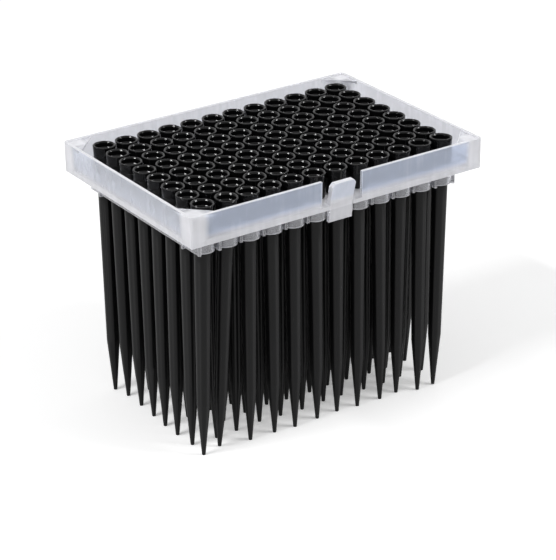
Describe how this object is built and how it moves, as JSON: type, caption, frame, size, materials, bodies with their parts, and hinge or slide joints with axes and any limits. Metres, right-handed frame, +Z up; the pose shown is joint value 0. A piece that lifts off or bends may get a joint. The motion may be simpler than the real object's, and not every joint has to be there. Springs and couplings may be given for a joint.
{
  "type": "pipette tip rack",
  "caption": "Frosted plastic rack tray with collars below its deck, full of long black pipette tips in a grid, and a spring latch tab in its front wall.",
  "frame": {"origin": "middle of the whole object on the plane that the tip ends stand on", "axes": "+X along the long side, +Y away from the latch tab, +Z up out of the tip mouths"},
  "size_m": [0.1202, 0.0848, 0.0957],
  "materials": {
    "tray_plastic": "frosted translucent polypropylene",
    "tip_plastic": "black conductive polypropylene, satin"
  },
  "bodies": {
    "root": {"tray": "tray_plastic", "tip_column_1": "tip_plastic", "tip_column_2": "tip_plastic", "tip_column_3": "tip_plastic", "tip_column_4": "tip_plastic", "tip_column_5": "tip_plastic", "tip_column_6": "tip_plastic", "tip_column_7": "tip_plastic", "tip_column_8": "tip_plastic", "tip_column_9": "tip_plastic", "tip_column_10": "tip_plastic", "tip_column_11": "tip_plastic", "tip_column_12": "tip_plastic"}
  },
  "joints": []
}
